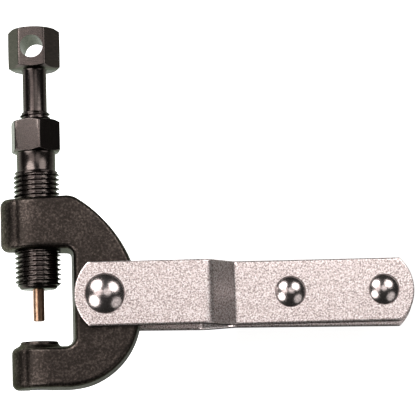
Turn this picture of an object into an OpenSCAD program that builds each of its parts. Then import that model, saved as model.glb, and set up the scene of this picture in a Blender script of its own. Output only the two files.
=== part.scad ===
// Chain tool: a C-shaped frame holds a hollow clamp screw, and a drive screw inside it pushes
// an ejector pin through the chain's rivet into the hole in the anvil.
// Lying on its back: X runs along the handle, Y up the screws' common axis, Z towards the viewer.
// Origin: where that axis meets the anvil's top, halfway through the frame's thickness.

/* [Frame] */
// Thickness of the frame, front to back
frame_thick = 16; // [13:0.5:20]
// Height of the throat, from the jaw's top to the arm's underside
throat_height = 24.2; // [20:0.1:30]
// Depth of the throat, from the screws' axis to the spine's inner wall
throat_depth = 8.7; // [7.5:0.1:10.5]
// Thickness of the upper arm
arm_thick = 15; // [12:0.1:19]
// Thickness of the lower jaw
jaw_thick = 11.5; // [9:0.1:15]
// Distance from the screws' axis to the arm's end
arm_reach = 9.6; // [8.5:0.1:12]
// Distance from the screws' axis to the jaw's end
jaw_reach = 7.2; // [6.5:0.1:9]
// Distance from the screws' axis to the outside of the spine
spine_reach = 26.5; // [25:0.1:32]
// Radius of the spine's outer curve beside the arm
upper_curve_r = 34.5; // [30:0.5:42]
// Radius of the spine's outer curve beside the jaw
lower_curve_r = 19.5; // [17:0.5:24]
// How much the arm's top and underside each close in towards its end
arm_taper = 0.5; // [0:0.05:1]
// How much the jaw's underside closes in towards its end
jaw_taper = 0.2; // [0:0.05:1]
// Forging draft of each half, measured at the front face
draft = 0.7; // [0:0.05:1.2]
// Rounding of the frame's edges
edge_r = 1.1; // [0.5:0.1:1.6]

/* [Anvil] */
// Diameter of the anvil's land
land_d = 9.7; // [8:0.1:12]
// Height of the land above the jaw
land_h = 1.2; // [0.8:0.1:2]
// Diameter of the hole that the chain's rivet is pushed into
anvil_hole_d = 5.6; // [4.5:0.1:6.5]

/* [Clamp screw] */
// Thread diameter of the clamp screw
clamp_thread_d = 12; // [10:0.5:14]
// Thread pitch of the clamp screw
clamp_pitch = 1.25; // [1:0.25:1.75]
// Width across the flats of the clamp screw's hexagon
clamp_hex_af = 12; // [11:0.5:17]
// Height of the clamp screw's hexagon
clamp_hex_h = 8.4; // [6:0.1:12]
// How deep the plain neck under the hexagon lies below the thread's crests
clamp_neck_cut = 0.9; // [0.8:0.05:1.1]
// Height of the plain neck
clamp_neck_h = 5.2; // [3:0.1:8]
// Length of the thread, from the neck down to the nose
clamp_thread_l = 30.9; // [26:0.1:40]
// Gap between the anvil and the nose
nose_gap = 13.6; // [8:0.1:16]
// Angle that the clamp screw's hexagon is turned to
clamp_turn = -21; // [-30:1:30]

/* [Drive screw] */
// Thread diameter of the drive screw
drive_thread_d = 8; // [6.5:0.5:8.5]
// Thread pitch of the drive screw
drive_pitch = 1; // [0.75:0.25:1.25]
// Length of the drive screw's thread
drive_thread_l = 15.5; // [12:0.5:20]
// How far the thread stands out of the clamp screw's hexagon
drive_thread_out = 2.3; // [0.5:0.1:4]
// How deep the plain shank under the head lies below the thread's crests
drive_shank_cut = 0.85; // [0.7:0.05:1.2]
// Length of the plain shank
drive_shank_l = 11.6; // [8:0.1:16]
// Width across the flats of the drive screw's head
drive_hex_af = 12; // [10:0.5:16]
// Height of the head
drive_hex_h = 10.6; // [9:0.1:14]
// Diameter of the cross hole for a tommy bar
cross_hole_d = 6; // [4.5:0.1:7]
// Angle that the head is turned to
drive_turn = -6; // [-30:1:30]

/* [Ejector pin and spring] */
// Diameter of the ejector pin
pin_d = 3; // [2.4:0.1:4]
// How far the pin stands out of the clamp screw's nose
pin_out = 8.3; // [2:0.1:10]
// Height of the pin's head
pin_head_h = 3; // [2:0.1:4]
// Length of the pin, without its head
pin_l = 32.2; // [28:0.1:38]
// Length of the guide hole in the nose
guide_l = 4.8; // [3:0.1:7]
// Wire diameter of the return spring
spring_wire_d = 0.7; // [0.5:0.05:0.9]
// Number of turns of the return spring
spring_turns = 7; // [5:1:9]

/* [Handle] */
// Thickness of each strap
strap_thick = 2.5; // [2:0.1:3]
// Width of the straps
strap_w = 16.6; // [14:0.1:20]
// Radius of the straps' rounded ends
strap_end_r = 11.3; // [10:0.1:16]
// Place of the frame rivet, along the handle from the screws' axis
pivot_x = 17; // [15:0.1:18]
// Height of the handle's middle line above the anvil
pivot_y = 11.3; // [9:0.1:13]
// Distance from the frame rivet to the straps' end over the frame
strap_tail = 7.8; // [6.8:0.1:9]
// Distance from the frame rivet to the start of the joggle
joggle_from = 25.8; // [24:0.1:32]
// Length that the joggle takes along the handle
joggle_run = 7.3; // [6:0.1:12]
// Inside radius of the joggle's bends
bend_r = 1.6; // [1:0.1:3]
// Distance from the frame rivet to the nearer handle rivet
rivet_1_at = 48.8; // [44:0.1:56]
// Distance between the two handle rivets
rivet_gap = 24.8; // [18:0.1:32]
// Distance from the far handle rivet to the handle's end
strap_tip = 8.1; // [7:0.1:12]
// Angle by which the rear strap's outline droops below the front one's, as it was cut
rear_droop = 0.9; // [0:0.1:1.5]

/* [Rivets] */
// Shank diameter of the frame rivet
frame_rivet_d = 6; // [5:0.1:7]
// Head diameter of the frame rivet
frame_rivet_head_d = 10.4; // [9:0.1:13]
// Head height of the frame rivet
frame_rivet_head_h = 2.2; // [1.5:0.1:4]
// Shank diameter of the handle rivets
handle_rivet_d = 4.5; // [3.5:0.1:5.5]
// Head diameter of the handle rivets
handle_rivet_head_d = 8.2; // [7:0.1:10]
// Head height of the handle rivets
handle_rivet_head_h = 1.8; // [1.2:0.1:3]

/* [Fits] */
// Radial clearance of a thread in its tapped hole, and of a pin or rivet in its hole
fit = 0.05; // [0.02:0.01:0.1]

/* [Hidden] */
$fn = 72;
eps = 0.01;                                  // overrun of a cut past the face that it opens
past = 5;                                    // overrun of a hole past both ends of its wall

// Levels up the screws' axis
jaw_top = -land_h;
jaw_bottom = jaw_top - jaw_thick;
arm_bottom = jaw_top + throat_height;
arm_top = arm_bottom + arm_thick;
nose_y = nose_gap;
clamp_thread_top = nose_y + clamp_thread_l;
clamp_hex_y = clamp_thread_top + clamp_neck_h;
clamp_top = clamp_hex_y + clamp_hex_h;
drive_thread_top = clamp_top + drive_thread_out;
drive_thread_end = drive_thread_top - drive_thread_l;
drive_hex_y = drive_thread_top + drive_shank_l;
pin_tip_y = nose_y - pin_out;
pin_head_y = pin_tip_y + pin_l;
pin_top_y = pin_head_y + pin_head_h;
guide_top = nose_y + guide_l;

// Threads: depth of a metric thread, and the drill that the drive thread is tapped in
thread_depth = 0.6134;                       // as a share of the pitch
chamber_r = drive_thread_d / 2 - thread_depth * drive_pitch + fit;
drive_travel = 14;                           // how far down the drive screw can go
tapped_to = drive_thread_end - drive_travel;
point_r = chamber_r - 0.4;                   // plain point of the drive screw
pin_head_r = chamber_r - fit;
spring_r = chamber_r - spring_wire_d / 2 - 0.15;

// Strap places
drop = frame_thick / 2;                      // the straps come together at the middle plane
rivet_xs = [pivot_x + rivet_1_at, pivot_x + rivet_1_at + rivet_gap];
strap_x0 = pivot_x - strap_tail;
strap_x1 = rivet_xs[1] + strap_tip;

// ---- Helpers ----

// Turns a shape that stands on Z so that it stands on Y
module along_y(y = 0, turn = 0) {
    translate([0, y, 0]) rotate([-90, 0, 0]) rotate([0, 0, turn]) children();
}

// Points of an arc about c, from angle a0 to a1
function arc(c, r, a0, a1, n) =
    [for (i = [0:n]) let (a = a0 + (a1 - a0) * i / n) c + r * [cos(a), sin(a)]];

// Points of the rounding, radius r, of the corner at p between the lines to a and b
function rounded(a, p, b, r, n) =
    let (u = (a - p) / norm(a - p), v = (b - p) / norm(b - p),
         half = acos(u * v) / 2,
         c = p + (u + v) / norm(u + v) * r / sin(half),
         s = p + u * r / tan(half) - c, e = p + v * r / tan(half) - c,
         a0 = atan2(s[1], s[0]), turn = atan2(s[0] * e[1] - s[1] * e[0], s * e))
    arc(c, r, a0, a0 + turn, n);

// ---- Frame ----

blend_at = -5;                               // angle where the two outer curves meet
lower_c = [spine_reach - lower_curve_r, jaw_bottom + lower_curve_r];
shoulder_r = 6;                              // blend from the arm's top to the outer curve
upper_r = max(upper_curve_r, arm_top - lower_c[1] + 2);    // a tall frame needs a wider curve
upper_c = lower_c + (lower_curve_r - upper_r) * [cos(blend_at), sin(blend_at)];
arm_corner_r = 2.2;
jaw_corner_r = 1.9;
inner_corner_r = 1.2;
inner_fillet_r = 1.8;
arm_end_r = arm_reach;                       // the arm's end is round about the screws' axis
jaw_end_r = 10.4;

// How far a round end of radius r has curved back at height z
function end_inset(r, z) = r - sqrt(max(r * r - z * z, 1));

// Steps along each stretch of the outline
lower_n = 12;
upper_n = 14;
shoulder_n = 3;
corner_n = 4;

// Outline of the frame at height z, moved in by d all round, counter-clockwise from the jaw's underside
function frame_outline(z, d) =
    let (top = arm_top - d, bottom = jaw_bottom + d,
         arm_x = -arm_reach + end_inset(arm_end_r, z) + d - draft * abs(z) / drop,
         jaw_x = -jaw_reach + end_inset(jaw_end_r, z) + d - draft * abs(z) / drop,
         wall_x = throat_depth + d,
         sr = shoulder_r - d,
         sy = top - sr,
         sx = upper_c[0] + sqrt(pow(upper_r - shoulder_r, 2) - pow(sy - upper_c[1], 2)),
         shoulder_a = atan2(sy - upper_c[1], sx - upper_c[0]),
         arm_tl = [arm_x, top - arm_taper], arm_bl = [arm_x, arm_bottom + d + arm_taper],
         in_top = [wall_x, arm_bottom + d], in_low = [wall_x, jaw_top - d],
         jaw_tl = [jaw_x, jaw_top - d], jaw_bl = [jaw_x, bottom + jaw_taper])
    concat(
        arc(lower_c, lower_curve_r - d, -90, blend_at, lower_n),
        arc(upper_c, upper_r - d, blend_at + 4, shoulder_a, upper_n),
        arc([sx, sy], sr, shoulder_a + 6, 90, shoulder_n),
        rounded([sx, top], arm_tl, arm_bl, max(arm_corner_r - d / 2, 0.5), corner_n),
        rounded(arm_tl, arm_bl, in_top, max(arm_corner_r - d / 2, 0.5), corner_n),
        rounded(arm_bl, in_top, in_low, inner_corner_r + d, corner_n),
        rounded(in_top, in_low, jaw_tl, inner_fillet_r + d, corner_n),
        rounded(in_low, jaw_tl, jaw_bl, max(jaw_corner_r - d / 2, 0.5), corner_n),
        rounded(jaw_tl, jaw_bl, [lower_c[0], bottom], max(jaw_corner_r - d / 2, 0.5), corner_n));

// The flat faces are five fans of triangles, which meet at these points of the outline
spine_i = lower_n + 2;
shoulder_i = lower_n + upper_n + shoulder_n + 2;
in_top_i = shoulder_i + 1 + 2 * (corner_n + 1) + corner_n / 2;
in_low_i = in_top_i + corner_n + 1;
last_i = in_low_i + corner_n / 2 + 2 * (corner_n + 1);
function fan(apex, from, to) = [for (i = [from:to - 1]) [apex, i, i + 1]];
flat = concat(fan(0, in_low_i, last_i), fan(in_low_i, 0, spine_i), fan(spine_i, in_top_i, in_low_i),
              fan(in_top_i, spine_i, shoulder_i), fan(shoulder_i, shoulder_i + 1, in_top_i));

// [height, inset] of each layer of the front half: the draft, then the rounded edge
flank_z = drop - edge_r;
half_layers = concat(
    [for (i = [0:5]) let (z = flank_z * i / 5) [z, draft * z / drop]],
    [for (a = [22.5:22.5:90]) [flank_z + edge_r * sin(a),
                               draft + edge_r * (1 - cos(a))]]);
layers = concat([for (i = [len(half_layers) - 1:-1:1]) [-half_layers[i][0], half_layers[i][1]]],
                half_layers);

module forging() {
    loops = [for (l = layers) [for (p = frame_outline(l[0], l[1])) [p[0], p[1], l[0]]]];
    n = len(loops[0]);
    m = len(loops);
    polyhedron(
        points = [for (loop = loops) each loop],
        faces = concat(
            flat,
            [for (f = flat) [for (i = [2:-1:0]) (m - 1) * n + f[i]]],
            [for (k = [0:m - 2], i = [0:n - 1])
                let (j = (i + 1) % n) [k * n + i, (k + 1) * n + i, (k + 1) * n + j, k * n + j]]));
}

module c_frame() {
    color("#2b2c2b") difference() {
        union() {
            forging();
            along_y(jaw_top - 1) cylinder(h = land_h + 1, r1 = land_d / 2 + 0.9, r2 = land_d / 2);
        }
        along_y(arm_bottom - past)
            cylinder(h = arm_thick + 2 * past, r = clamp_thread_d / 2 + fit);
        along_y(jaw_bottom - past)
            cylinder(h = jaw_thick + land_h + 2 * past, r = anvil_hole_d / 2);
        translate([pivot_x, pivot_y, -drop - past])
            cylinder(h = frame_thick + 2 * past, r = frame_rivet_d / 2 + fit);
    }
}

// ---- Screws ----

// Profile points [radius, height] of thread rings from y0 up to y1
function thread_rings(r, pitch, y0, y1) =
    let (n = floor((y1 - y0) / pitch), deep = thread_depth * pitch, run = (y1 - y0) / n)
    [for (i = [0:n - 1], p = [[0, 0.06], [0, 0.19], [deep, 0.5], [deep, 0.75]])
        [r - p[0], y0 + (i + p[1]) * run]];

// Hexagon of height h with both ends chamfered to a circle
module hexagon(af, h) {
    corner_r = af / cos(30) / 2;
    cut = (corner_r - af / 2) * tan(30);
    intersection() {
        cylinder(h = h, r = corner_r, $fn = 6);
        rotate_extrude() polygon([[0, 0], [af / 2, 0], [corner_r, cut], [corner_r, h - cut],
                                  [af / 2, h], [0, h]]);
    }
}

module clamp_screw() {
    r = clamp_thread_d / 2;
    neck_r = r - clamp_neck_cut;
    chamfer = 1.1;
    nose_r = r - 1.35;
    color("#3a3b3c") along_y() difference() {
        union() {
            rotate_extrude() polygon(concat(
                [[0, nose_y], [nose_r, nose_y]],
                [[r - thread_depth * clamp_pitch, nose_y + chamfer * 0.6]],
                thread_rings(r, clamp_pitch, nose_y + chamfer, clamp_thread_top),
                [[neck_r, clamp_thread_top], [neck_r, clamp_hex_y + 1],
                 [0, clamp_hex_y + 1]]));
            translate([0, 0, clamp_hex_y]) rotate([0, 0, clamp_turn])
                hexagon(clamp_hex_af, clamp_hex_h);
        }
        translate([0, 0, nose_y - eps]) cylinder(h = guide_l + 1, r = pin_d / 2 + fit);
        translate([0, 0, guide_top]) cylinder(h = clamp_top, r = chamber_r);
        translate([0, 0, tapped_to]) cylinder(h = clamp_top, r = drive_thread_d / 2 + fit);
    }
}

module drive_screw() {
    r = drive_thread_d / 2;
    shank_r = r - drive_shank_cut;
    color("#404142") along_y() difference() {
        union() {
            rotate_extrude() polygon(concat(
                [[0, pin_top_y], [point_r - 0.4, pin_top_y], [point_r, pin_top_y + 0.4],
                 [point_r, drive_thread_end - 0.3]],
                thread_rings(r, drive_pitch, drive_thread_end, drive_thread_top),
                [[shank_r, drive_thread_top], [shank_r, drive_hex_y + 1],
                 [0, drive_hex_y + 1]]));
            translate([0, 0, drive_hex_y]) rotate([0, 0, drive_turn])
                hexagon(drive_hex_af, drive_hex_h);
        }
        translate([0, 0, drive_hex_y + drive_hex_h / 2]) rotate([0, 0, drive_turn])
            rotate([90, 0, 0]) cylinder(h = 2 * drive_hex_af, r = cross_hole_d / 2, center = true);
    }
}

module ejector_pin() {
    r = pin_d / 2;
    tip = 0.4;
    color("#8a6a52") along_y() rotate_extrude()
        polygon([[0, pin_tip_y], [r - tip, pin_tip_y], [r, pin_tip_y + tip], [r, pin_head_y],
                 [pin_head_r, pin_head_y], [pin_head_r, pin_top_y], [0, pin_top_y]]);
}

// Closed helix of round wire between the nose's shoulder and the pin's head
module return_spring() {
    wire_r = spring_wire_d / 2;
    y0 = guide_top + wire_r;
    y1 = pin_head_y - wire_r;
    steps = spring_turns * 18;
    sides = 8;
    function centre(i) = let (a = 360 * spring_turns * i / steps)
        [spring_r * cos(a), spring_r * sin(a), y0 + (y1 - y0) * i / steps];
    function ring(i) = let (a = 360 * spring_turns * i / steps)
        [for (k = [0:sides - 1]) let (b = 360 * k / sides)
            centre(i) + wire_r * (cos(b) * [cos(a), sin(a), 0] + sin(b) * [0, 0, 1])];
    color("#8d9094") along_y() polyhedron(
        points = [for (i = [0:steps]) each ring(i)],
        faces = concat(
            [[for (k = [0:sides - 1]) k]],
            [[for (k = [sides - 1:-1:0]) steps * sides + k]],
            [for (i = [0:steps - 1], k = [0:sides - 1]) let (j = (k + 1) % sides)
                [i * sides + k, (i + 1) * sides + k, (i + 1) * sides + j, i * sides + j]]));
}

// ---- Handle ----

// Side profile of the front strap, in X and Z: flat over the frame, down the joggle, flat again
function joggle_profile() =
    let (x1 = pivot_x + joggle_from, x2 = x1 + joggle_run, t = strap_thick,
         slope = atan(drop / joggle_run), shift = t * tan(slope / 2),
         low = [[strap_x0, drop], [x1, drop], [x2, 0], [strap_x1, 0]],
         high = [[strap_x0, drop + t], [x1 + shift, drop + t], [x2 + shift, t], [strap_x1, t]])
    concat([low[0]], rounded(low[0], low[1], low[2], bend_r, 6),
           rounded(low[1], low[2], low[3], bend_r + t, 6), [low[3], high[3]],
           rounded(high[3], high[2], high[1], bend_r, 6),
           rounded(high[2], high[1], high[0], bend_r + t, 6), [high[0]]);

// Plan outline of a strap: two straight edges and two arched ends
function strap_outline() =
    let (a = asin(strap_w / 2 / strap_end_r))
    concat(arc([strap_x0 + strap_end_r, pivot_y], strap_end_r, 180 - a, 180 + a, 10),
           arc([strap_x1 - strap_end_r, pivot_y], strap_end_r, -a, a, 10));

module strap(droop = 0) {
    tall = drop + strap_thick + past;
    difference() {
        intersection() {
            translate([0, pivot_y + strap_w, 0]) rotate([90, 0, 0])
                linear_extrude(2 * strap_w) polygon(joggle_profile());
            translate([pivot_x, pivot_y, -past]) rotate(-droop) linear_extrude(tall + past)
                translate([-pivot_x, -pivot_y]) polygon(strap_outline());
        }
        translate([pivot_x, pivot_y, 0]) cylinder(h = tall, r = frame_rivet_d / 2 + fit);
        for (x = rivet_xs)
            translate([x, pivot_y, -past]) cylinder(h = tall, r = handle_rivet_d / 2 + fit);
    }
}

// Shank of radius r through a stack of half thickness grip, with a domed head at each end
module rivet(x, grip, r, head_r, head_h) {
    ball_r = (head_r * head_r + head_h * head_h) / head_h / 2;
    translate([x, pivot_y, 0]) {
        cylinder(h = 2 * grip + head_h, r = r, center = true);
        for (side = [0, 1]) mirror([0, 0, side]) translate([0, 0, grip]) intersection() {
            translate([0, 0, head_h - ball_r]) sphere(ball_r);
            cylinder(h = head_h + 1, r = head_r + 1);
        }
    }
}

module front_strap() { color("#b9b3b3") strap(); }
module rear_strap() { color("#a9a4a4") mirror([0, 0, 1]) strap(rear_droop); }

module frame_rivet() {
    color("#c9ccd0") rivet(pivot_x, drop + strap_thick, frame_rivet_d / 2,
                           frame_rivet_head_d / 2, frame_rivet_head_h);
}

module handle_rivets() {
    color("#c9ccd0") for (x = rivet_xs)
        rivet(x, strap_thick, handle_rivet_d / 2, handle_rivet_head_d / 2, handle_rivet_head_h);
}

c_frame();
clamp_screw();
drive_screw();
ejector_pin();
return_spring();
front_strap();
rear_strap();
frame_rivet();
handle_rivets();
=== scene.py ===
# %% [markdown]
# # Bicycle chain tool
# A forged C-shaped frame holds two screws, one inside the other. The big one clamps the chain
# and the small one pushes the ejector pin. A handle of two joggled straps is riveted to the back.
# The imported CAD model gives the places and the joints. This script gives each part its finished
# surface: every shape is a formula on a grid, and every finish is a small node tree.

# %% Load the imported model
import math

import bpy
import numpy as np
from mathutils import Matrix, Vector


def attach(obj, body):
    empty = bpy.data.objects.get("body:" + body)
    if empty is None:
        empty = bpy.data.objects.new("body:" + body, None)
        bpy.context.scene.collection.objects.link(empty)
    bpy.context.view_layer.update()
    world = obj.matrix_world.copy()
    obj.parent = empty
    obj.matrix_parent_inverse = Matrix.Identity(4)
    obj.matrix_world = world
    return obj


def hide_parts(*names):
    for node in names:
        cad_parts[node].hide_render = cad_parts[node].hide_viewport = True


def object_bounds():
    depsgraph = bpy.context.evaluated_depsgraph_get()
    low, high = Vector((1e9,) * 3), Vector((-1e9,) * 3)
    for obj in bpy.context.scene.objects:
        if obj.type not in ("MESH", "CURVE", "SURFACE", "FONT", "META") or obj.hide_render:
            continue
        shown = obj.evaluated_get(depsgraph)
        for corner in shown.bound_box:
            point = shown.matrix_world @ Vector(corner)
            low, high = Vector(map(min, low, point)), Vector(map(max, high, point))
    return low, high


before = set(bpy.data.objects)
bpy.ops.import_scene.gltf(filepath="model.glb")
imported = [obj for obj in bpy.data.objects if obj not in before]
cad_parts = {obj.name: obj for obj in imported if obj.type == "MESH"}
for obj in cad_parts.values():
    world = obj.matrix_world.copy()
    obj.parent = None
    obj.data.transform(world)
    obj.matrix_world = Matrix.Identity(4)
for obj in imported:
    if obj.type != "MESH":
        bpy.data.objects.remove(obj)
cad_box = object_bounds()
print("nodes:", sorted(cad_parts))

# %% [markdown]
# ## Camera
# The tool lies on its side and the camera looks almost straight down on it, from a hand's
# breadth nearer the jaw's side, so the undersides of the arm and of the hexagons show.
# A long lens from half a metre keeps the perspective gentle.

# %% Camera
MM = 0.001
EYE = (7.2, -30.6, 475.0)
AIM = (45.0, 34.17, 0.0)
UPWARD = (0.0215, 0.9904, 0.1368)
LENS = 157.5


def look(eye, aim, upward):
    """Matrix of an object at eye: its -Z points to aim, its Y as near upward as it can."""
    back = (Vector(eye) - Vector(aim)).normalized()
    right = Vector(upward).cross(back).normalized()
    turn = Matrix((right, back.cross(right), back)).transposed().to_4x4()
    return Matrix.Translation(Vector(eye) * MM) @ turn


camera = bpy.data.objects.new("camera", bpy.data.cameras.new("camera"))
camera.data.lens = LENS
camera.data.sensor_width = 36
camera.data.clip_start = 0.01
camera.matrix_world = look(EYE, AIM, UPWARD)
bpy.context.collection.objects.link(camera)
bpy.context.scene.camera = camera
print("camera at", [round(v, 3) for v in camera.location])

# %% [markdown]
# ## From a grid to a mesh
# Most parts are a stack of closed loops: rows of points, each row going round the part, the rows
# going from one end to the other. Each end is closed with one flat face, or with a point.

# %% Grid helpers
FLAT_BREAK = math.radians(32)


def piece(name, points, faces, sharp=FLAT_BREAK):
    """Mesh object from points in mm and a list of index arrays, one array for each kind of face."""
    mesh = bpy.data.meshes.new(name)
    mesh.from_pydata(np.asarray(points) * MM, [], [f for block in faces for f in block.tolist()])
    mesh.validate()
    mesh.polygons.foreach_set("use_smooth", np.ones(len(mesh.polygons), bool))
    mesh.set_sharp_from_angle(angle=sharp)
    mesh.update()
    obj = bpy.data.objects.new(name, mesh)
    bpy.context.collection.objects.link(obj)
    return obj


def stack(rows, start=0, flip=False):
    """Faces of rows of closed loops, shape (rows, points, 3): quads between the loops and a flat
    face on the first and the last loop. The first loop runs clockwise as seen from outside it."""
    m, n = rows.shape[:2]
    i, j = np.meshgrid(np.arange(m - 1), np.arange(n), indexing="ij")
    k = (j + 1) % n
    quads = np.stack([i * n + j, i * n + k, (i + 1) * n + k, (i + 1) * n + j], -1).reshape(-1, 4)
    ends = np.array([np.arange(n)[::-1], (m - 1) * n + np.arange(n)])
    if flip:
        quads, ends = quads[:, ::-1], ends[:, ::-1]
    return [quads + start, ends + start]


def turned(profile, angles):
    """Rows of a turned part: radius and height along the profile, carried round Z by the angles."""
    r, z = np.asarray(profile, float).T
    return np.stack([r[:, None] * np.cos(angles), r[:, None] * np.sin(angles),
                     np.broadcast_to(z[:, None], (len(z), len(angles)))], -1)


def upright(rows):
    """Stands a part made about Z on the screws' axis, Y, without turning it inside out."""
    return np.stack([rows[..., 0], rows[..., 2], -rows[..., 1]], -1)


def even_turn(n):
    """n angles evenly round a circle."""
    return np.arange(n) * 2 * np.pi / n


def cut(obj, tools, operation="DIFFERENCE"):
    """Cuts the tools out of a piece, or joins them to it, and keeps the result as plain mesh."""
    for tool in tools:
        step = obj.modifiers.new("cut", "BOOLEAN")
        step.operation, step.solver, step.object = operation, "EXACT", tool
        done = bpy.data.meshes.new_from_object(
            obj.evaluated_get(bpy.context.evaluated_depsgraph_get()))
        obj.modifiers.clear()
        obj.data = done
        bpy.data.objects.remove(tool)
    obj.data.polygons.foreach_set("use_smooth", np.ones(len(obj.data.polygons), bool))
    obj.data.set_sharp_from_angle(angle=FLAT_BREAK)
    return obj


def drill(r, low, high, at=(0, 0), along_y=True, sides=96):
    """A cylinder to cut a hole with, from low to high, along Y or along Z."""
    rows = turned([[r, low], [r, high]], even_turn(sides)) + [at[0], at[1], 0]
    return piece("drill", (upright(rows) if along_y else rows).reshape(-1, 3), stack(rows))


# %% [markdown]
# ## Outline arcs
# Forged and blanked outlines are straight lines joined by arcs. Two helpers give the points of
# an arc, and of the arc that rounds a corner between two lines.

# %% Arcs and rounded corners
def arc(centre, r, a0, a1, n):
    """n points on the circle about centre from angle a0 to a1, in degrees."""
    a = np.radians(np.linspace(a0, a1, n))
    return np.asarray(centre) + r * np.stack([np.cos(a), np.sin(a)], -1)


def rounded(a, p, b, r, n):
    """The corner p of the lines to a and b, rounded: the arc of radius r that touches both."""
    a, p, b = (np.asarray(v, float) for v in (a, p, b))
    u, v = (a - p) / np.linalg.norm(a - p), (b - p) / np.linalg.norm(b - p)
    half = math.acos(u @ v) / 2
    centre = p + (u + v) / np.linalg.norm(u + v) * r / math.sin(half)
    s, e = p + u * r / math.tan(half) - centre, p + v * r / math.tan(half) - centre
    a0 = math.degrees(math.atan2(s[1], s[0]))
    swing = math.degrees(math.atan2(s[0] * e[1] - s[1] * e[0], s @ e))
    return arc(centre, r, a0, a0 + swing, n)


# %% [markdown]
# ## Materials
# The tool has black oxide on the forging and the screws, a copper-coloured pin, zinc plating on
# the straps with dull sheared edges whose dark colour is partly painted shade, bright rivets and a
# spring of plain wire. One function adds a node, and one turns hex colours into the linear numbers
# that the shader wants.

# %% Material helpers
def linear(hex_colour):
    """Linear RGBA of an sRGB hex colour: each channel ((c + 0.055) / 1.055) ^ 2.4."""
    c = np.array([int(hex_colour[i:i + 2], 16) for i in (1, 3, 5)]) / 255
    c = np.where(c <= 0.04045, c / 12.92, ((c + 0.055) / 1.055) ** 2.4)
    return (*c.tolist(), 1)


def node(tree, kind, settings=None, **links):
    """Adds a node, sets its properties and its sockets' values, and links its inputs.
    A socket is named by its name, or by its number as in_0, in_1."""
    made = tree.nodes.new(kind)
    for key, value in (settings or {}).items():
        if isinstance(key, int) or key in made.inputs:
            made.inputs[key].default_value = value
        else:
            setattr(made, key, value)
    for key, source in links.items():
        socket = int(key[3:]) if key.startswith("in_") else key
        tree.links.new(source, made.inputs[socket])
    return made


def ramp(tree, source, stops):
    """A colour ramp between [position, colour] stops, driven by a source socket."""
    made = node(tree, "ShaderNodeValToRGB", Fac=source)
    while len(made.color_ramp.elements) < len(stops):
        made.color_ramp.elements.new(0.5)
    for element, (position, colour) in zip(made.color_ramp.elements, stops):
        element.position, element.color = position, colour
    return made.outputs["Color"]


def grey(v):
    return (v, v, v, 1)


def finish(name, **sockets):
    """An empty material with one Principled shader whose sockets have these plain values."""
    material = bpy.data.materials.new(name)
    material.use_nodes = True
    shader = material.node_tree.nodes["Principled BSDF"]
    for key, value in sockets.items():
        shader.inputs[key.replace("_", " ")].default_value = value
    return material, material.node_tree, shader


def grain(tree, size_mm, detail=2.0, rough=0.5, stretch=(1, 1, 1)):
    """Noise whose features are about size_mm across, in the object's own metres."""
    place = node(tree, "ShaderNodeTexCoord").outputs["Object"]
    scaled = node(tree, "ShaderNodeMapping", {"Scale": stretch}, Vector=place)
    return node(tree, "ShaderNodeTexNoise",
                {"Scale": 1 / (size_mm * MM), "Detail": detail, "Roughness": rough},
                Vector=scaled.outputs[0]).outputs["Fac"]


def bumped(tree, shader, height, depth_mm):
    """Bump of a given depth from a height socket."""
    made = node(tree, "ShaderNodeBump", {"Strength": 1.0, "Distance": depth_mm * MM},
                Height=height)
    tree.links.new(made.outputs[0], shader.inputs["Normal"])


# %% [markdown]
# ### Black-oxide forging
# The frame is drop-forged steel, blasted clean and blackened in hot salts. The scale leaves a
# pebbled skin of bumps 0.6 mm across, and hands wear the black thin on the high spots.

# %% Black-oxide forging
forged, tree, shader = finish("black_oxide_forged_steel", Metallic=1.0, Roughness=0.4,
                              Specular_Tint=linear("#b8bdb4"))
skin = grain(tree, 0.6, 4.0, 0.7)
patches = grain(tree, 9.0, 2.0)
mixed = node(tree, "ShaderNodeMath", {"operation": "MULTIPLY_ADD", 1: 0.25},
             in_0=patches, in_2=skin)
tree.links.new(ramp(tree, mixed.outputs[0], [[0.4, linear("#2a2723")], [0.62, linear("#383431")],
                                             [0.85, linear("#665f59")]]),
               shader.inputs["Base Color"])
tree.links.new(ramp(tree, skin, [[0.3, grey(0.38)], [0.7, grey(0.28)]]), shader.inputs["Roughness"])
bumped(tree, shader, skin, 0.07)

# %% [markdown]
# ### Black-oxide screws
# The screws are turned from alloy steel and blackened too, but their skin is smooth, so they
# mirror the lamps as soft bands. Oil in the oxide makes it near black with a warm sheen.

# %% Black-oxide screws
screw_black, tree, shader = finish("black_oxide_machined_steel", Metallic=1.0, Roughness=0.24,
                                    Specular_Tint=linear("#c4ccc2"))
lathe = grain(tree, 0.5, 2.0, 0.5, stretch=(0.3, 3, 0.3))
tree.links.new(ramp(tree, lathe, [[0.35, linear("#454240")], [0.7, linear("#5c5653")]]),
               shader.inputs["Base Color"])
tree.links.new(ramp(tree, lathe, [[0.3, grey(0.27)], [0.7, grey(0.17)]]),
               shader.inputs["Roughness"])
bumped(tree, shader, grain(tree, 0.6, 3.0), 0.008)

# %% [markdown]
# ### Hardened pin
# The ejector pin is ground steel whose temper and grease leave it a copper brown.

# %% Hardened pin
pin_brown, tree, shader = finish("tempered_pin_steel", Metallic=1.0, Roughness=0.28)
wear = grain(tree, 0.9, 3.0, 0.6, stretch=(1, 0.4, 1))
tree.links.new(ramp(tree, wear, [[0.35, linear("#7c6350")], [0.65, linear("#a98f78")]]),
               shader.inputs["Base Color"])
bumped(tree, shader, wear, 0.01)

# %% [markdown]
# ### Zinc plating
# The straps are pressed from sheet and barrel-plated with zinc. The crystals sparkle like fine
# sand, 0.4 mm across here so that they show.

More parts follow.
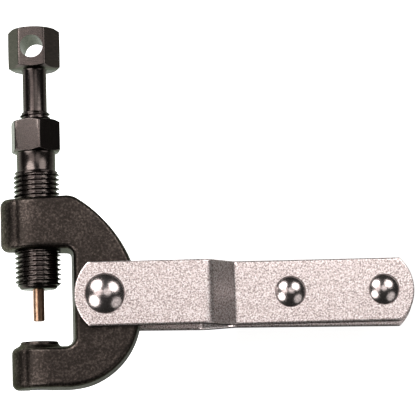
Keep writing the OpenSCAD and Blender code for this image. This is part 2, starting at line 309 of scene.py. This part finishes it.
# %% Zinc plating
zinc, tree, shader = finish("bright_zinc_plated_sheet", Metallic=1.0, Roughness=0.4)
sand = grain(tree, 0.4, 3.0, 0.75)
cloud = grain(tree, 6.0, 2.0)
tree.links.new(ramp(tree, sand, [[0.38, linear("#8f8785")], [0.5, linear("#e2d8d6")],
                                 [0.6, linear("#ffffff")]]), shader.inputs["Base Color"])
tree.links.new(ramp(tree, cloud, [[0.35, grey(0.36)], [0.65, grey(0.32)]]),
               shader.inputs["Roughness"])
bumped(tree, shader, sand, 0.02)

# %% [markdown]
# ### Sheared edge, partly painted shade
# The press tears the sheet's edge, so the plating there is thin, dull and grey.
# Part of its near-black colour is painted shade: the dark look that the strap's upright sides get
# from the light is put into their colour.

# %% Sheared edge, partly painted shade
sheared_edge_and_shade, tree, shader = finish("sheared_edge_with_painted_shade", Metallic=1.0, Roughness=0.55,
                               Specular_Tint=linear("#6a6a64"))
torn = grain(tree, 0.5, 3.0, 0.6)
# The dark stops of this ramp are partly painted shade on the strap's upright sides.
tree.links.new(ramp(tree, torn, [[0.35, linear("#1f1e1c")], [0.6, linear("#3c3a37")],
                                 [0.72, linear("#98928c")]]), shader.inputs["Base Color"])
bumped(tree, shader, torn, 0.03)

# %% [markdown]
# ### Bright rivets and spring wire
# The rivet heads are pressed smooth and plated, so each dome mirrors the lamps as small spots.
# The hidden spring is drawn wire with lines along its length.

# %% Bright rivets and spring wire
rivet_bright, tree, shader = finish("plated_rivet_steel", Metallic=1.0, Roughness=0.2)
scuff = grain(tree, 0.5, 3.0, 0.6)
tree.links.new(ramp(tree, scuff, [[0.35, linear("#aaa5a3")], [0.7, linear("#d6d0cf")]]),
               shader.inputs["Base Color"])
bumped(tree, shader, scuff, 0.004)

wire, tree, shader = finish("drawn_spring_wire", Metallic=1.0, Roughness=0.3)
lines = grain(tree, 0.2, 2.0)
tree.links.new(ramp(tree, lines, [[0.3, linear("#8d9094")], [0.7, linear("#a9acb0")]]),
               shader.inputs["Base Color"])
bumped(tree, shader, lines, 0.005)
print("finishes:", [m.name for m in bpy.data.materials])

# %% [markdown]
# ## Frame
# The C is a drop forging: one outline, drawn in a little towards each face so that it leaves the
# die, with rounded edges and a faint line where the two dies met. Loops of the outline, one for
# each height, are stacked from the back face to the front face.

# %% Frame outline
THICK = 16.0
LAND_R = 4.85
JAW_TOP, JAW_BOTTOM = -1.2, -12.7
ARM_BOTTOM, ARM_TOP = 23.0, 38.0
ARM_REACH, JAW_REACH, JAW_END_R = 9.6, 7.2, 10.4
THROAT_WALL = 8.7
UPPER_R, LOWER_R, SHOULDER_R, MEET = 34.5, 19.5, 6.0, -5.0
ARM_TAPER, JAW_TAPER, DRAFT, EDGE_R = 0.5, 0.2, 0.7, 1.1
PARTING, PARTING_W, RIDGE_FROM = 0.12, 0.45, 9.5
STRAP_GAP = 0.03
THROAT_MIDDLE = 10.0
CLAMP_HOLE_R, ANVIL_HOLE_R, PIVOT_HOLE_R = 6.05, 2.8, 3.05
PIVOT = (17.0, 11.3)
BEYOND = 5.0
SPINE_BACK = 26.5
LOWER_C = np.array([SPINE_BACK - LOWER_R, JAW_BOTTOM + LOWER_R])
UPPER_C = LOWER_C + (LOWER_R - UPPER_R) * np.array([math.cos(math.radians(MEET)),
                                                    math.sin(math.radians(MEET))])
CORNER_N = 9
LINE_N = 12


def line(a, b, n=LINE_N):
    """n points between a and b, without the two ends."""
    t = np.linspace(0, 1, n + 2)[1:-1, None]
    return np.asarray(a) * (1 - t) + np.asarray(b) * t


def end_inset(r, z):
    """How far a round end of radius r has curved back at height z: r - sqrt(r^2 - z^2)."""
    return r - math.sqrt(max(r * r - z * z, 1))


def outline(z, d):
    """Outline at height z, moved in by d: arcs of the back, the arm, the throat and the jaw."""
    lean = d - DRAFT * abs(z) / (THICK / 2)
    arm_x = -ARM_REACH + end_inset(ARM_REACH, z) + lean
    jaw_x = -JAW_REACH + end_inset(JAW_END_R, z) + lean
    top, bottom, wall = ARM_TOP - d, JAW_BOTTOM + d, THROAT_WALL + d
    blend_r = SHOULDER_R - d
    blend = np.array([UPPER_C[0] + math.sqrt((UPPER_R - SHOULDER_R) ** 2
                                             - (top - blend_r - UPPER_C[1]) ** 2), top - blend_r])
    turn = math.degrees(math.atan2(blend[1] - UPPER_C[1], blend[0] - UPPER_C[0]))
    arm_tl, arm_bl = [arm_x, top - ARM_TAPER], [arm_x, ARM_BOTTOM + d + ARM_TAPER]
    in_top, in_low = [wall, ARM_BOTTOM + d], [wall, JAW_TOP - d]
    jaw_tl, jaw_bl = [jaw_x, JAW_TOP - d], [jaw_x, bottom + JAW_TAPER]
    outer, under = max(2.2 - d / 2, 0.5), max(1.9 - d / 2, 0.5)
    stretches = [
        arc(LOWER_C, LOWER_R - d, -90, MEET, 40), arc(UPPER_C, UPPER_R - d, MEET + 2, turn, 40),
        arc(blend, blend_r, turn + 3, 90, 10),
        rounded([blend[0], top], arm_tl, arm_bl, outer, CORNER_N),
        rounded(arm_tl, arm_bl, in_top, outer, CORNER_N),
        rounded(arm_bl, in_top, in_low, 1.2 + d, CORNER_N),
        rounded(in_top, in_low, jaw_tl, 1.8 + d, CORNER_N),
        rounded(in_low, jaw_tl, jaw_bl, under, CORNER_N),
        rounded(jaw_tl, jaw_bl, [LOWER_C[0], bottom], under, CORNER_N)]
    joined = stretches[:2]
    for before, after in zip(stretches[2:], stretches[3:] + stretches[:1]):
        joined += [before, line(before[-1], after[0])]
    return np.concatenate(joined)


# %% Frame body
def forging_rows():
    """Loops from the back to the front: draft d = DRAFT |z| / 8, edge rounding on a quarter
    circle, and a parting ridge exp(-(z / 0.45)^2) on the outer curve only. The tips of the arm
    and of the jaw are ellipses in plan, z = 8 sqrt(1 - x^2 / R^2), and the faces stop a hair
    under the straps."""
    flank = THICK / 2 - EDGE_R
    z = np.concatenate([np.linspace(0, 1.4, 7), np.linspace(2.4, flank, 6)])
    layers = [[v, DRAFT * v / (THICK / 2)] for v in z]
    layers += [[flank + EDGE_R * math.sin(a), DRAFT + EDGE_R * (1 - math.cos(a))]
               for a in np.radians(np.linspace(11.25, 90, 8))]
    layers += [[THICK / 2, DRAFT + EDGE_R + inset] for inset in (0.35, 0.9, 1.6, 2.4, 3.2)]
    rows = [np.insert(outline(h, d), 2, h, axis=1) for h, d in layers]
    rows = [r * [1, 1, -1] for r in rows[:0:-1]] + rows
    rows = np.stack(rows)
    middle = np.array([LOWER_C[0], 12.0, 0])
    away = rows - middle
    away[..., 2] = 0
    away /= np.linalg.norm(away, axis=-1, keepdims=True)
    outer = np.clip((rows[..., :1] - RIDGE_FROM) / 4, 0, 1)
    rows = rows + away * outer * PARTING * np.exp(-(rows[..., 2:] / PARTING_W) ** 2)
    on_arm = rows[..., 1] > THROAT_MIDDLE
    end_r = np.where(on_arm, ARM_REACH, JAW_END_R)
    past = np.where(on_arm, 0.0, JAW_END_R - JAW_REACH) - rows[..., 0]
    circle = np.sqrt(end_r ** 2 - np.clip(past, 0, 0.995 * end_r) ** 2)
    rows[..., 2] *= (THICK / 2 - STRAP_GAP) * circle / end_r / np.minimum(circle, THICK / 2)
    return rows


rows = forging_rows()
c_frame = piece("forged_frame", rows.reshape(-1, 3), stack(rows))
land = turned([[LAND_R + 1.6, JAW_TOP - 1], [LAND_R + 0.9, JAW_TOP - 0.02],
               [LAND_R + 0.35, JAW_TOP + 0.25], [LAND_R + 0.08, JAW_TOP + 0.7],
               [LAND_R, -0.15], [LAND_R - 0.15, 0]], even_turn(96))
cut(c_frame, [piece("land", upright(land).reshape(-1, 3), stack(land))], "UNION")
cut(c_frame, [drill(CLAMP_HOLE_R, ARM_BOTTOM - BEYOND, ARM_TOP + BEYOND),
              drill(ANVIL_HOLE_R, JAW_BOTTOM - BEYOND, BEYOND),
              drill(PIVOT_HOLE_R, -THICK, THICK, PIVOT, along_y=False)])
print("frame faces:", len(c_frame.data.polygons))

# %% [markdown]
# ## Screws
# A screw is a turned part with two twists: the hexagon's radius depends on the angle, and so does
# the thread's, which climbs one pitch for each turn. Both are one surface: radius as a function
# of angle and height. The angles crowd together near the six corners to keep them crisp.

# %% Hexagon and thread formulas
HEX_SHARP = 90
THREAD_DEPTH = 0.6134
RUNOUT = 0.55
CHAMFER = math.radians(30)
SCREW_BREAK = math.radians(38)
FLATS = 12.0


def hex_turn(turn, per_side=22):
    """Angles round a hexagon with corners at turn + 60 k, crowded near the corners."""
    t = np.arange(per_side) / per_side
    side = 60 * (t - 0.9 * np.sin(2 * np.pi * t) / (2 * np.pi))
    return np.radians((turn + side[None, :] + 60 * np.arange(6)[:, None]).ravel())


def hex_radius(angles, flats, turn):
    """Radius of a hexagon with rounded corners: (sum |cos(a - a_i) / half|^p)^(-1/p)."""
    mids = np.radians(turn + 30 + np.array([0, 60, 120]))
    closeness = np.abs(np.cos(angles[:, None] - mids)) / (flats / 2)
    return (closeness ** HEX_SHARP).sum(1) ** (-1 / HEX_SHARP)


def thread_radius(z, angles, r, pitch, y0, y1):
    """Radius of a right-hand thread: flat crests, sloping flanks and flat roots. Towards its
    ends it runs out to a plain band, in over 0.4 of a pitch and out over 0.6."""
    phase = (z[:, None] / pitch - angles / (2 * np.pi)) % 1
    wave = np.clip(2.2 - np.abs(phase - 0.5) * 5.6, 0, 1)
    fade = np.clip((z - y0) / (0.4 * pitch), 0, 1) * np.clip((y1 - z) / (0.6 * pitch), 0, 1)
    return r - THREAD_DEPTH * pitch * (wave * fade[:, None] + (1 - fade[:, None]) * RUNOUT)


def hex_rows(angles, flats, turn, y0, height):
    """Radius and height of a hexagon head, both ends chamfered to a circle at 30 degrees."""
    plain = hex_radius(angles, flats, turn)
    slope = (flats / math.cos(CHAMFER) - flats) / 2 * math.tan(CHAMFER)
    z = np.concatenate([np.linspace(0, slope, 9), np.linspace(slope, height - slope, 4)[1:-1],
                        np.linspace(height - slope, height, 9)])
    near_end = np.minimum(z, height - z)
    cone = flats / 2 - 0.1 + near_end / math.tan(CHAMFER)
    return np.minimum(plain[None, :], cone[:, None]), y0 + z


def spun(radii, z, angles):
    """Rows of points from a radius for each height and angle."""
    return np.stack([radii * np.cos(angles), radii * np.sin(angles),
                     np.broadcast_to(z[:, None], radii.shape)], -1)


def ringed(profile, angles):
    """Radii and heights of a plain turned stretch, for joining to threads and hexagons."""
    r, z = np.asarray(profile, float).T
    return np.repeat(r[:, None], len(angles), 1), z


def screw(name, angles, parts):
    """One closed surface from a list of (radii, heights) stretches, from one end to the other."""
    rows = np.concatenate([spun(r, z, angles) for r, z in parts])
    return piece(name, upright(rows).reshape(-1, 3), stack(rows), SCREW_BREAK)


# %% Clamp screw
NOSE = 13.6
CLAMP_R, CLAMP_PITCH, CLAMP_TURN = 6.0, 1.25, -21
CLAMP_THREAD_TOP, CLAMP_HEX_Y, CLAMP_HEX_H = 44.5, 49.7, 8.4
NECK_R, CHAMBER_R, TAPPED_R = CLAMP_R - 0.9, 3.437, 4.05
GUIDE_TOP, TAPPED_TO = 18.4, 30.9
turns = hex_turn(CLAMP_TURN)
z = np.arange(NOSE + 1.0, CLAMP_THREAD_TOP, CLAMP_PITCH / 12)
head_r, head_z = hex_rows(turns, FLATS, CLAMP_TURN, CLAMP_HEX_Y, CLAMP_HEX_H)
TOP = CLAMP_HEX_Y + CLAMP_HEX_H
clamp_screw = screw("hollow_clamp_screw", turns, [
    ringed([[1.55, GUIDE_TOP], [1.55, NOSE + 0.3], [1.85, NOSE], [4.2, NOSE], [4.55, NOSE + 0.1],
            [4.9, NOSE + 0.45], [5.1, NOSE + 0.9]], turns),
    (thread_radius(z, turns, CLAMP_R, CLAMP_PITCH, NOSE + 1.0, CLAMP_THREAD_TOP), z),
    ringed([[NECK_R + 0.1, CLAMP_THREAD_TOP + 0.1], [NECK_R, CLAMP_THREAD_TOP + 0.3],
            [NECK_R, CLAMP_HEX_Y - 0.5], [NECK_R + 0.15, CLAMP_HEX_Y - 0.15],
            [NECK_R + 0.5, CLAMP_HEX_Y]], turns),
    (head_r, head_z),
    ringed([[4.6, TOP], [4.3, TOP - 0.05], [TAPPED_R, TOP - 0.4], [TAPPED_R, TAPPED_TO],
            [CHAMBER_R, TAPPED_TO], [CHAMBER_R, GUIDE_TOP]], turns)])
print("clamp screw faces:", len(clamp_screw.data.polygons))

# %% [markdown]
# The clamp screw is a tube, so its two ends must not be closed by flat faces: the pin's guide
# hole and the chamber meet in a shoulder, and one ring of faces joins the last loop to the first.

# %% Close the tube
def join_ends(obj, per_loop):
    """Takes the two end faces away and joins the last loop to the first with quads."""
    mesh = obj.data
    total = len(mesh.vertices)
    points = np.empty(total * 3, np.float32)
    mesh.vertices.foreach_get("co", points)
    rows = points.reshape(-1, per_loop, 3) / MM
    quads = stack(rows)[0]
    j = np.arange(per_loop)
    k = (j + 1) % per_loop
    last = total - per_loop
    shoulder = np.stack([last + j, last + k, k, j], -1)
    name = obj.name
    bpy.data.objects.remove(obj)
    return piece(name, rows.reshape(-1, 3), [quads, shoulder], SCREW_BREAK)


clamp_screw = join_ends(clamp_screw, len(turns))

# %% [markdown]
# The drive screw has the same parts in a smaller size, and a hole across its head for a tommy
# bar. The hole is cut out of the finished surface.

# %% Drive screw
DRIVE_R, DRIVE_PITCH, DRIVE_TURN = 4.0, 1.0, -6
DRIVE_FOOT, DRIVE_THREAD_Y, DRIVE_THREAD_TOP = 40.5, 44.9, 60.4
DRIVE_HEX_Y, DRIVE_HEX_H = 72.0, 10.6
SHANK_R, POINT_R = DRIVE_R - 0.85, 3.037
turns = hex_turn(DRIVE_TURN)
z = np.arange(DRIVE_THREAD_Y, DRIVE_THREAD_TOP, DRIVE_PITCH / 12)
head_r, head_z = hex_rows(turns, FLATS, DRIVE_TURN, DRIVE_HEX_Y, DRIVE_HEX_H)
TOP = DRIVE_HEX_Y + DRIVE_HEX_H
drive_screw = screw("drive_screw_with_cross_hole", turns, [
    ringed([[0.8, DRIVE_FOOT], [POINT_R - 0.4, DRIVE_FOOT], [POINT_R, DRIVE_FOOT + 0.4],
            [POINT_R, DRIVE_THREAD_Y - 0.3]], turns),
    (thread_radius(z, turns, DRIVE_R, DRIVE_PITCH, DRIVE_THREAD_Y, DRIVE_THREAD_TOP), z),
    ringed([[SHANK_R, DRIVE_THREAD_TOP + 0.2], [SHANK_R, DRIVE_HEX_Y - 0.5],
            [SHANK_R + 0.15, DRIVE_HEX_Y - 0.15], [SHANK_R + 0.5, DRIVE_HEX_Y]], turns),
    (head_r, head_z), ringed([[1.5, TOP]], turns)])
HOLE_R, THROUGH = 3.0, 20.0
rows = turned([[HOLE_R, -THROUGH], [HOLE_R, THROUGH]], even_turn(96))
lean = math.radians(-DRIVE_TURN)
cross = np.stack([rows[..., 0] * math.cos(lean) - rows[..., 2] * math.sin(lean),
                  rows[..., 1] + DRIVE_HEX_Y + DRIVE_HEX_H / 2,
                  rows[..., 0] * math.sin(lean) + rows[..., 2] * math.cos(lean)], -1)
cut(drive_screw, [piece("cross_hole", cross.reshape(-1, 3), stack(rows))])
print("drive screw faces:", len(drive_screw.data.polygons))

# %% [markdown]
# ## Pin and spring
# The pin is a turned rod with a head that the spring lifts. The spring is round wire carried
# along a helix: each ring of the wire stands square to the coil.

# %% Pin
PIN_R, PIN_TIP, PIN_HEAD, PIN_TOP, PIN_HEAD_R = 1.5, 5.3, 37.5, 40.5, 3.387
rows = turned([[0.5, PIN_TIP], [1.15, PIN_TIP], [1.38, PIN_TIP + 0.12], [PIN_R, PIN_TIP + 0.4],
               [PIN_R, PIN_HEAD], [PIN_HEAD_R - 0.2, PIN_HEAD], [PIN_HEAD_R, PIN_HEAD + 0.2],
               [PIN_HEAD_R, PIN_TOP - 0.2], [PIN_HEAD_R - 0.2, PIN_TOP], [1, PIN_TOP]],
              even_turn(64))
ejector = piece("ejector_pin_ground", upright(rows).reshape(-1, 3), stack(rows))

# %% Spring
WIRE_R, COIL_R, COILS = 0.35, 2.937, 7
t = np.linspace(0, 1, COILS * 40 + 1)
a = 2 * np.pi * COILS * t
centre_z = GUIDE_TOP + WIRE_R + (PIN_HEAD - GUIDE_TOP - 2 * WIRE_R) * t
b = even_turn(14)
reach = COIL_R + WIRE_R * np.cos(b)
rows = np.stack([reach[None, :] * np.cos(a)[:, None], reach[None, :] * np.sin(a)[:, None],
                 centre_z[:, None] + WIRE_R * np.sin(b)[None, :]], -1)
spring = piece("coil_return_spring", upright(rows).reshape(-1, 3), stack(rows, flip=True))
print("pin and spring:", len(ejector.data.polygons), len(spring.data.polygons))

# %% [markdown]
# ## Straps
# Each strap is blanked from sheet and pressed with a joggle, so that it lies on the forging at
# one end and on the other strap at the far end. A grid covers the plan outline, and the height
# of the sheet depends only on the distance along the tool. Near the rim the faces fall away on a
# small quarter circle, as a tumbled edge does.

# %% Strap surface
SHEET, STRAP_HALF, END_R, RIM_R = 2.5, 8.3, 11.3, 0.45
STRAP_X = (9.2, 98.7)
JOGGLE_X, JOGGLE_RUN, BEND_R = 42.8, 7.3, 1.6
RIVET_X, RIVET_HOLE_R = (65.8, 90.6), 2.3
ACROSS_N = 41
DROOP = 0.9


def sheet_height(x, lift):
    """Height of the sheet's under face (lift 0) or upper face (lift 1) over x: two flats and a
    slope, joined by bends of radius r inside and r + thickness outside."""
    drop = THICK / 2
    half_slope = math.atan(drop / JOGGLE_RUN) / 2
    shift = SHEET * math.tan(half_slope) * lift
    up = SHEET * lift
    p = [[STRAP_X[0] - 5, drop + up], [JOGGLE_X + shift, drop + up],
         [JOGGLE_X + JOGGLE_RUN + shift, up], [STRAP_X[1] + 5, up]]
    first, second = (BEND_R + SHEET, BEND_R) if lift else (BEND_R, BEND_R + SHEET)
    path = np.concatenate([[p[0]], rounded(p[0], p[1], p[2], first, 24),
                           rounded(p[1], p[2], p[3], second, 24), [p[3]]])
    return np.interp(x, path[:, 0], path[:, 1])


def strap(name, side, droop=0.0):
    """Grid over the plan outline: stations along the strap, each as wide as the outline there,
    on the upper face and back on the under face, so each station is one closed loop."""
    swing = math.asin(STRAP_HALF / END_R)
    tip = END_R * (1 - np.cos(np.linspace(0.02, 1, 26) * swing))
    middle = np.concatenate([np.linspace(STRAP_X[0] + tip[-1], JOGGLE_X - 4, 30)[1:],
                             np.linspace(JOGGLE_X - 4, JOGGLE_X + JOGGLE_RUN + 5, 60)[1:],
                             np.linspace(JOGGLE_X + JOGGLE_RUN + 5, STRAP_X[1] - tip[-1],
                                         40)[1:-1]])
    x = np.concatenate([STRAP_X[0] + tip, middle, STRAP_X[1] - tip[::-1]])
    near = np.minimum(x - STRAP_X[0], STRAP_X[1] - x)
    on_arc = np.sqrt(np.maximum(END_R ** 2 - (END_R - near) ** 2, 0))
    half = np.where(near < tip[-1] - 1e-9, on_arc, STRAP_HALF)
    across = np.sin(np.linspace(-1, 1, ACROSS_N) * np.pi / 2)
    across = np.sign(across) * (1 - (1 - np.abs(across)) ** 1.15)
    loop = np.concatenate([across, across[::-1]])
    upper = np.concatenate([np.ones(ACROSS_N), np.zeros(ACROSS_N)])
    y = half[:, None] * loop
    end_x = np.where(x < 50, STRAP_X[0] + END_R, STRAP_X[1] - END_R)
    from_end = END_R - np.hypot(x[:, None] - end_x[:, None], y)
    on_end = (near < END_R)[:, None]
    rim = np.minimum(STRAP_HALF - np.abs(y), np.where(on_end, from_end, 99))
    fall = RIM_R - np.sqrt(np.maximum(RIM_R ** 2 - np.maximum(RIM_R - rim, 0) ** 2, 0))
    c, s = math.cos(math.radians(droop)), math.sin(math.radians(droop))
    px = PIVOT[0] + (x[:, None] - PIVOT[0]) * c + y * s
    py = PIVOT[1] - (x[:, None] - PIVOT[0]) * s + y * c
    z = np.where(upper > 0, sheet_height(px, 1) - fall, sheet_height(px, 0) + fall)
    rows = np.stack([px, py, z * side], -1)
    made = piece(name, rows.reshape(-1, 3), stack(rows, flip=side > 0))
    return cut(made, [drill(PIVOT_HOLE_R, -THROUGH, THROUGH, PIVOT, along_y=False)]
               + [drill(RIVET_HOLE_R, -THROUGH, THROUGH, (rx, PIVOT[1]), along_y=False)
                  for rx in RIVET_X])


front = strap("front_strap_zinc", 1)
rear = strap("rear_strap_zinc", -1, DROOP)
print("strap faces:", len(front.data.polygons), len(rear.data.polygons))

# %% [markdown]
# ## Rivets
# A rivet's head is a cap of a sphere with a rim rolled in by the die. The shank runs through the
# stack to the same head on the other side, so the whole rivet is one turned surface.

# %% Rivets
def rivet_rows(x, grip, shank_r, head_r, head_h):
    """Turned profile: cap r = R sin a, z = R cos a above the grip, a small rim, then the shank."""
    ball = (head_r ** 2 + head_h ** 2) / head_h / 2
    a = np.linspace(0.02, math.asin((head_r - 0.12) / ball), 30)
    cap = np.stack([ball * np.sin(a), grip + head_h - ball + ball * np.cos(a)], -1)
    rim = [[head_r, grip + 0.22], [head_r, grip + 0.1], [head_r - 0.12, grip], [shank_r, grip]]
    half = np.concatenate([cap, rim])
    rows = turned(np.concatenate([half, half[::-1] * [1, -1]])[::-1], even_turn(72))
    return rows + [x, PIVOT[1], 0]


rows = rivet_rows(PIVOT[0], THICK / 2 + SHEET, 3.0, 5.2, 2.2)
pivot_rivet = piece("domed_pivot_rivet", rows.reshape(-1, 3), stack(rows))
pair = [rivet_rows(x, SHEET, 2.25, 4.1, 1.8) for x in RIVET_X]
faces = stack(pair[0]) + stack(pair[1], start=pair[0].shape[0] * pair[0].shape[1])
handle_rivets = piece("domed_handle_rivets", np.concatenate([p.reshape(-1, 3) for p in pair]),
                      faces)
print("rivets:", len(pivot_rivet.data.polygons), len(handle_rivets.data.polygons))

# %% [markdown]
# ## Put the pieces on the model
# Each piece stands for one CAD node, moves with that node's body and takes the finish listed for
# it.

# %% Ride, replace and finish
PLACES = [(c_frame, "c_frame", "frame", "forged_black", forged),
          (clamp_screw, "clamp_screw", "clamp", "oxide_clamp", screw_black),
          (drive_screw, "drive_screw", "drive", "oxide_drive", screw_black),
          (ejector, "ejector_pin", "pin", "pin_steel", pin_brown),
          (spring, "return_spring", "spring", "spring_steel", wire),
          (front, "front_strap", "handle", "plated_strap", zinc),
          (rear, "rear_strap", "handle", "plated_strap", zinc),
          (pivot_rivet, "frame_rivet", "handle", "rivet_steel", rivet_bright),
          (handle_rivets, "handle_rivets", "handle", "rivet_steel", rivet_bright)]
for made, cad_node, body, material_slot, material in PLACES:
    made.data.materials.clear()
    made.data.materials.append(material)
    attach(made, body)
    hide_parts(cad_node)

EDGE_TILT = 0.35
# The upright sides of each strap take the sheared edge finish, whose dark colour is partly painted
# shade.
for sheet in (front, rear):
    sheet.data.materials.append(sheared_edge_and_shade)
    normals = np.empty(len(sheet.data.polygons) * 3, np.float32)
    sheet.data.polygons.foreach_get("normal", normals)
    upright_face = np.abs(normals[2::3]) < EDGE_TILT
    sheet.data.polygons.foreach_set("material_index", upright_face.astype(np.int32))
    print(sheet.name, "edge faces:", int(upright_face.sum()))

# %% [markdown]
# ## Table and lamps
# The tool lies on a white light table. Four round soft lamps stand round the camera, so smooth
# domes show four spots; two weaker ones overhead light the flat faces. The table's light dims
# away from the screws, so their undersides pick up a faint glow and the handle's do not. The
# backdrop is pale to the camera and almost dark to the lamps' bounces.

# %% Table
low = cad_box[0]
TABLE_R, HAIR = 900, 0.02


def level(v):
    """A plain number for a corner of a box, in metres."""
    return [float(c) for c in v]


table_z = level(low)[2] / MM - HAIR
ring = turned([[TABLE_R, table_z - 4], [TABLE_R, table_z]], even_turn(96))
table = piece("light_table", ring.reshape(-1, 3), stack(ring))
glow, tree, shader = finish("white_light_table", Base_Color=linear("#7c7d7a"), Roughness=0.6)
place = node(tree, "ShaderNodeTexCoord").outputs["Object"]
centred = node(tree, "ShaderNodeMapping",
               {"vector_type": "TEXTURE", "Location": (-0.018, 0.03, 0),
                "Scale": (0.075, 0.1, 0.09)},
               Vector=place)
fade = node(tree, "ShaderNodeTexGradient", {"gradient_type": "SPHERICAL"},
            Vector=centred.outputs[0])
seen = node(tree, "ShaderNodeLightPath").outputs["Is Camera Ray"]
stronger = node(tree, "ShaderNodeMath", {"operation": "MULTIPLY", 1: 2.0},
                in_0=fade.outputs["Fac"])
lit = node(tree, "ShaderNodeMath", {"operation": "MULTIPLY_ADD", 1: 0.9}, in_0=seen,
           in_2=stronger.outputs[0])
tree.links.new(lit.outputs[0], shader.inputs["Emission Strength"])
shader.inputs["Emission Color"].default_value = (1, 1, 1, 1)
table.data.materials.append(glow)

# %% Lamps
CENTRE = (40, 30, 0)
LAMPS = {"upper_left": ((-228, 311, 315), 180, 2.3, "#fff6f4"),
         "upper_right": ((316, 252, 353), 180, 1.1, "#fff6f4"),
         "lower_left": ((-303, -179, 297), 180, 1.3, "#fff6f4"),
         "lower_right": ((383, -239, 245), 180, 0.3, "#fff6f4"),
         "overhead_left": ((-220, 106, 490), 165, 0.46, "#fff0ee"),
         "overhead_right": ((122, 100, 540), 150, 0.3, "#fff4f2")}
for title, (spot, radius, watts, tint) in LAMPS.items():
    lamp = bpy.data.lights.new(f"lamp_{title}", "AREA")
    lamp.shape, lamp.size, lamp.energy = "DISK", 2 * radius * MM, watts
    lamp.color = linear(tint)[:3]
    holder = bpy.data.objects.new(lamp.name, lamp)
    holder.matrix_world = look(spot, CENTRE, (0, 1, 0.1))
    holder.visible_camera = False
    bpy.context.collection.objects.link(holder)

world = bpy.data.worlds.new("studio")
world.use_nodes = True
tree = world.node_tree
sky = tree.nodes["Background"]
sky.inputs["Color"].default_value = linear("#b9b6b2")
seen = node(tree, "ShaderNodeLightPath").outputs["Is Camera Ray"]
lift = node(tree, "ShaderNodeMath", {"operation": "MULTIPLY_ADD", 1: 1.9, 2: 0.06}, in_0=seen)
tree.links.new(lift.outputs[0], sky.inputs["Strength"])
bpy.context.scene.world = world
bpy.context.scene.view_settings.view_transform = "Standard"
